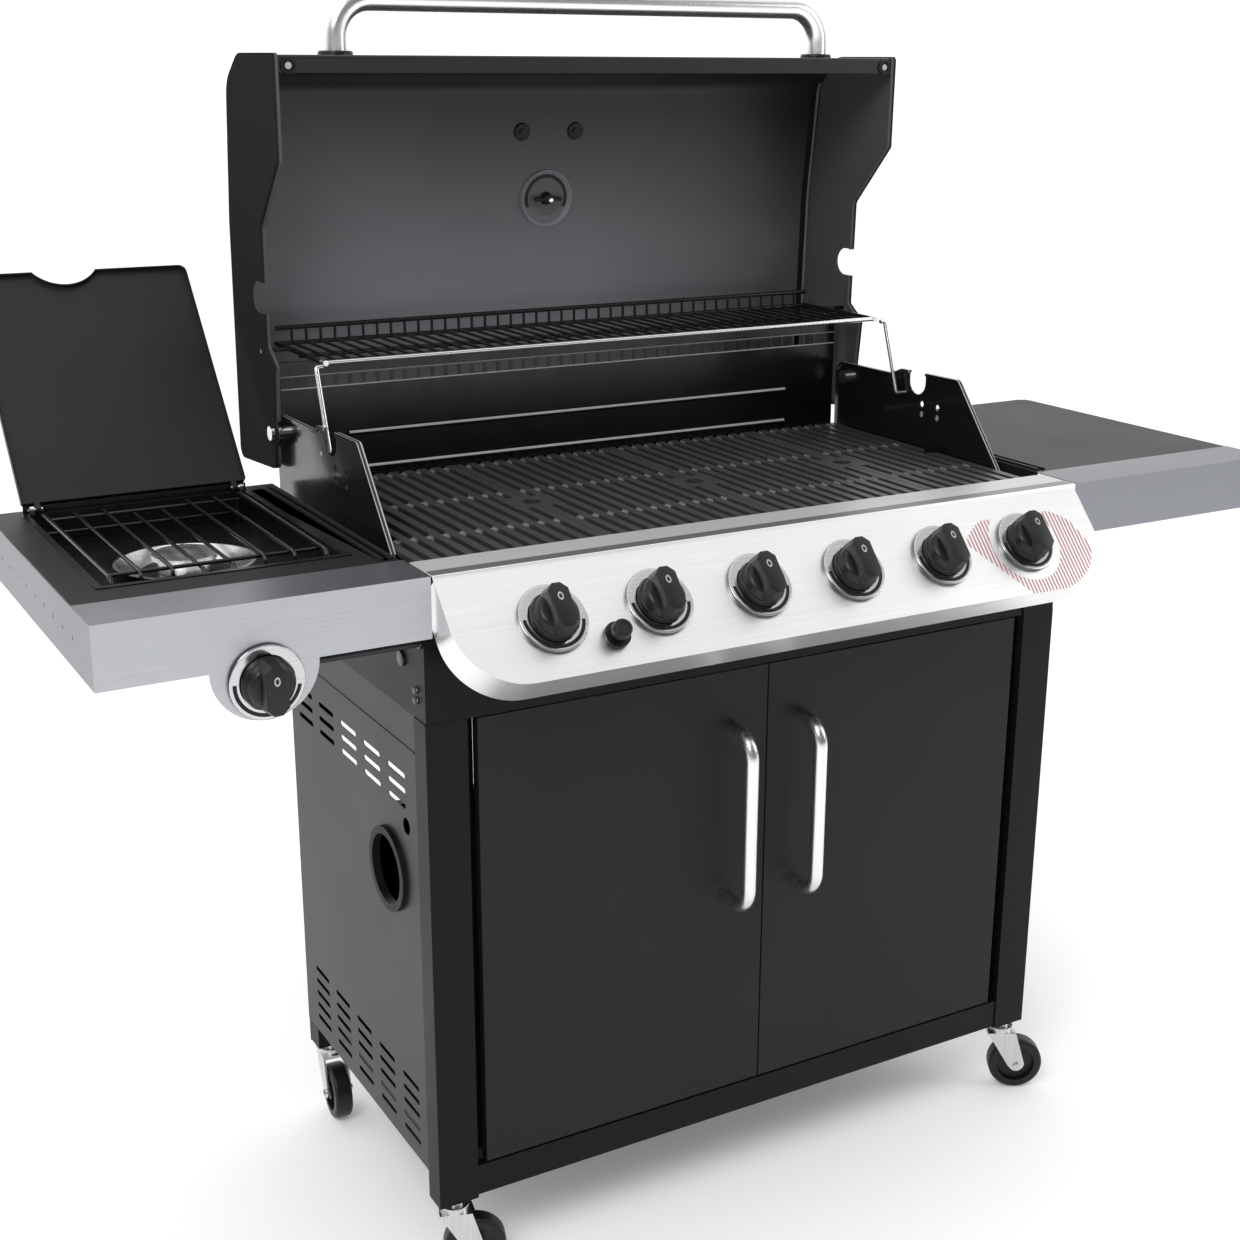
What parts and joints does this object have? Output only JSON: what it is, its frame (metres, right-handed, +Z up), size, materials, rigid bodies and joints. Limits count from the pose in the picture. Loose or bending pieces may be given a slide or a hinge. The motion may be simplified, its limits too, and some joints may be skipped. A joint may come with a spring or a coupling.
{
  "type": "gas barbecue grill",
  "caption": "Free-standing gas barbecue on a closed cart with casters: hinged hood with thermometer, cast grates, knob panel, warming rack, side burner, side shelf and cabinet doors.",
  "frame": {"origin": "on the floor, under the middle of the whole object's width and depth, lids open", "axes": "+X to the cook's right, +Y to the back, +Z up"},
  "size_m": [1.588, 0.7711, 1.4753],
  "materials": {
    "frame_black": "satin powder coat",
    "side_panel_grey": "satin powder coat",
    "door_charcoal": "matte powder coat",
    "porcelain_black": "gloss porcelain enamel",
    "lid_charcoal": "satin porcelain enamel",
    "panel_steel": "fine brushed",
    "shelf_steel": "fine brushed",
    "handle_steel": "satin",
    "bezel_chrome": "satin chrome",
    "burner_steel": "plain stainless",
    "grate_iron": "matte porcelain coated",
    "wire_black": "porcelain coated wire",
    "bright_wire": "bright plated",
    "knob_black": "satin moulded",
    "valve_brass": "machined",
    "grommet_rubber": "matte",
    "pointer_red": "matte",
    "caster_zinc": "zinc plated",
    "caster_tyre": "moulded black"
  },
  "bodies": {
    "root": {"cart_legs": "frame_black", "cart_rails": "frame_black", "side_panel_left": "side_panel_grey", "side_panel_right": "side_panel_grey", "hose_grommet": "grommet_rubber", "rear_panel": "frame_black", "bottom_shelf": "frame_black", "firebox_tub": "porcelain_black", "firebox_sides": "porcelain_black", "firebox_rear_baffle": "porcelain_black", "main_burners": "burner_steel", "heat_tents": "burner_steel", "cooking_grates": "grate_iron", "gas_manifold": "valve_brass", "control_panel": "panel_steel", "knob_bezels": "bezel_chrome", "igniter_body": "knob_black", "shelf_fascias": "shelf_steel", "shelf_left_top": "door_charcoal", "shelf_right_top": "door_charcoal", "side_burner": "burner_steel", "side_burner_grate": "wire_black", "fasteners": "bright_wire"},
    "lid": {"lid_shell": "lid_charcoal", "lid_ends": "lid_charcoal", "lid_handle": "handle_steel", "lid_fittings": "bezel_chrome", "thermometer_case": "bezel_chrome"},
    "pointer": {"thermometer_pointer": "pointer_red"},
    "rack": {"warming_rack": "wire_black"},
    "rack_legs": {"warming_rack_legs": "bright_wire"},
    "side_lid": {"side_lid": "door_charcoal"},
    "door_left": {"door_left": "door_charcoal", "door_handle_left": "handle_steel"},
    "door_right": {"door_right": "door_charcoal", "door_handle_right": "handle_steel"},
    "grease_tray": {"grease_tray": "burner_steel"},
    "igniter_button": {"igniter_button": "knob_black"},
    "stem_1": {"valve_stem_1": "valve_brass"},
    "knob_1": {"knob_1": "knob_black"},
    "stem_2": {"valve_stem_2": "valve_brass"},
    "knob_2": {"knob_2": "knob_black"},
    "stem_3": {"valve_stem_3": "valve_brass"},
    "knob_3": {"knob_3": "knob_black"},
    "stem_4": {"valve_stem_4": "valve_brass"},
    "knob_4": {"knob_4": "knob_black"},
    "stem_5": {"valve_stem_5": "valve_brass"},
    "knob_5": {"knob_5": "knob_black"},
    "stem_6": {"valve_stem_6": "valve_brass"},
    "knob_6": {"knob_6": "knob_black"},
    "side_stem": {"side_valve_stem": "valve_brass"},
    "side_knob": {"side_knob": "knob_black"},
    "fork_front_left": {"caster_fork_front_left": "caster_zinc"},
    "wheel_front_left": {"caster_wheel_front_left": "caster_tyre"},
    "fork_front_right": {"caster_fork_front_right": "caster_zinc"},
    "wheel_front_right": {"caster_wheel_front_right": "caster_tyre"},
    "fork_rear_left": {"caster_fork_rear_left": "caster_zinc"},
    "wheel_rear_left": {"caster_wheel_rear_left": "caster_tyre"},
    "fork_rear_right": {"caster_fork_rear_right": "caster_zinc"},
    "wheel_rear_right": {"caster_wheel_rear_right": "caster_tyre"}
  },
  "joints": [
    {"name": "lid_hinge", "type": "hinge", "parent": "root", "child": "lid", "pos_m": [0, 0.1782, 0.948], "axis": [1, 0, 0], "range_deg": [0, 90]},
    {"name": "rack_pivot", "type": "hinge", "parent": "lid", "child": "rack", "pos_m": [0, 0.2122, 1.045], "axis": [1, 0, 0], "range_deg": [-90, 0]},
    {"name": "rack_leg_pivot", "type": "hinge", "parent": "root", "child": "rack_legs", "pos_m": [0, 0.0482, 0.945], "axis": [1, 0, 0], "range_deg": [0, 90]},
    {"name": "gauge_pointer", "type": "hinge", "parent": "lid", "child": "pointer", "pos_m": [0, 0.31335, 1.21183], "axis": [0, -0.993, -0.1184], "range_deg": [0, 270]},
    {"name": "side_lid_hinge", "type": "hinge", "parent": "root", "child": "side_lid", "pos_m": [-0.621, 0.1692, 0.887], "axis": [1, 0, 0], "range_deg": [0, 130]},
    {"name": "door_left_hinge", "type": "hinge", "parent": "root", "child": "door_left", "pos_m": [-0.375, -0.2618, 0.425], "axis": [0, 0, -1], "range_deg": [0, 105]},
    {"name": "door_right_hinge", "type": "hinge", "parent": "root", "child": "door_right", "pos_m": [0.375, -0.2618, 0.425], "axis": [0, 0, 1], "range_deg": [0, 105]},
    {"name": "grease_tray_slide", "type": "slide", "parent": "root", "child": "grease_tray", "axis": [0, 1, 0], "range_m": [0, 0.34]},
    {"name": "igniter_push", "type": "slide", "parent": "root", "child": "igniter_button", "axis": [0, -0.7431, 0.6691], "range_m": [-0.006, 0], "stiffness_N_per_m": 400, "springref_m": 0.003},
    {"name": "knob_1_turn", "type": "hinge", "parent": "root", "child": "stem_1", "pos_m": [-0.32625, -0.33929, 0.82881], "axis": [0, -0.7431, 0.6691], "range_deg": [0, 240]},
    {"name": "knob_1_push", "type": "slide", "parent": "stem_1", "child": "knob_1", "axis": [0, -0.7431, 0.6691], "range_m": [-0.0035, 0], "stiffness_N_per_m": 600, "springref_m": 0.003},
    {"name": "knob_2_turn", "type": "hinge", "parent": "root", "child": "stem_2", "pos_m": [-0.19575, -0.33929, 0.82881], "axis": [0, -0.7431, 0.6691], "range_deg": [0, 240]},
    {"name": "knob_2_push", "type": "slide", "parent": "stem_2", "child": "knob_2", "axis": [0, -0.7431, 0.6691], "range_m": [-0.0035, 0], "stiffness_N_per_m": 600, "springref_m": 0.003},
    {"name": "knob_3_turn", "type": "hinge", "parent": "root", "child": "stem_3", "pos_m": [-0.06525, -0.33929, 0.82881], "axis": [0, -0.7431, 0.6691], "range_deg": [0, 240]},
    {"name": "knob_3_push", "type": "slide", "parent": "stem_3", "child": "knob_3", "axis": [0, -0.7431, 0.6691], "range_m": [-0.0035, 0], "stiffness_N_per_m": 600, "springref_m": 0.003},
    {"name": "knob_4_turn", "type": "hinge", "parent": "root", "child": "stem_4", "pos_m": [0.06525, -0.33929, 0.82881], "axis": [0, -0.7431, 0.6691], "range_deg": [0, 240]},
    {"name": "knob_4_push", "type": "slide", "parent": "stem_4", "child": "knob_4", "axis": [0, -0.7431, 0.6691], "range_m": [-0.0035, 0], "stiffness_N_per_m": 600, "springref_m": 0.003},
    {"name": "knob_5_turn", "type": "hinge", "parent": "root", "child": "stem_5", "pos_m": [0.19575, -0.33929, 0.82881], "axis": [0, -0.7431, 0.6691], "range_deg": [0, 240]},
    {"name": "knob_5_push", "type": "slide", "parent": "stem_5", "child": "knob_5", "axis": [0, -0.7431, 0.6691], "range_m": [-0.0035, 0], "stiffness_N_per_m": 600, "springref_m": 0.003},
    {"name": "knob_6_turn", "type": "hinge", "parent": "root", "child": "stem_6", "pos_m": [0.32625, -0.33929, 0.82881], "axis": [0, -0.7431, 0.6691], "range_deg": [0, 240]},
    {"name": "knob_6_push", "type": "slide", "parent": "stem_6", "child": "knob_6", "axis": [0, -0.7431, 0.6691], "range_m": [-0.0035, 0], "stiffness_N_per_m": 600, "springref_m": 0.003},
    {"name": "side_knob_turn", "type": "hinge", "parent": "root", "child": "side_stem", "pos_m": [-0.626, -0.2968, 0.798], "axis": [0, -1, 0], "range_deg": [0, 240]},
    {"name": "side_knob_push", "type": "slide", "parent": "side_stem", "child": "side_knob", "axis": [0, -1, 0], "range_m": [-0.0035, 0], "stiffness_N_per_m": 600, "springref_m": 0.003},
    {"name": "caster_front_left_swivel", "type": "hinge", "parent": "root", "child": "fork_front_left", "pos_m": [-0.421, -0.2558, 0.1], "axis": [0, 0, 1], "continuous": true},
    {"name": "caster_front_left_roll", "type": "hinge", "parent": "fork_front_left", "child": "wheel_front_left", "pos_m": [-0.39939, -0.26367, 0.0375], "axis": [0.342, 0.9397, 0], "continuous": true},
    {"name": "caster_front_right_swivel", "type": "hinge", "parent": "root", "child": "fork_front_right", "pos_m": [0.421, -0.2558, 0.1], "axis": [0, 0, 1], "continuous": true},
    {"name": "caster_front_right_roll", "type": "hinge", "parent": "fork_front_right", "child": "wheel_front_right", "pos_m": [0.44092, -0.2673, 0.0375], "axis": [0.5, 0.866, 0], "continuous": true},
    {"name": "caster_rear_left_swivel", "type": "hinge", "parent": "root", "child": "fork_rear_left", "pos_m": [-0.421, 0.1542, 0.1], "axis": [0, 0, 1], "continuous": true},
    {"name": "caster_rear_left_roll", "type": "hinge", "parent": "fork_rear_left", "child": "wheel_rear_left", "pos_m": [-0.42301, 0.13129, 0.0375], "axis": [0.9962, -0.0872, 0], "continuous": true},
    {"name": "caster_rear_right_swivel", "type": "hinge", "parent": "root", "child": "fork_rear_right", "pos_m": [0.421, 0.1542, 0.1], "axis": [0, 0, 1], "continuous": true},
    {"name": "caster_rear_right_roll", "type": "hinge", "parent": "fork_rear_right", "child": "wheel_rear_right", "pos_m": [0.42695, 0.13198, 0.0375], "axis": [0.9659, 0.2588, 0], "continuous": true}
  ],
  "couplings": [
    {"joint": "rack_pivot", "follows": "lid_hinge", "ratio": -1},
    {"joint": "rack_leg_pivot", "follows": "lid_hinge", "ratio": 1}
  ]
}
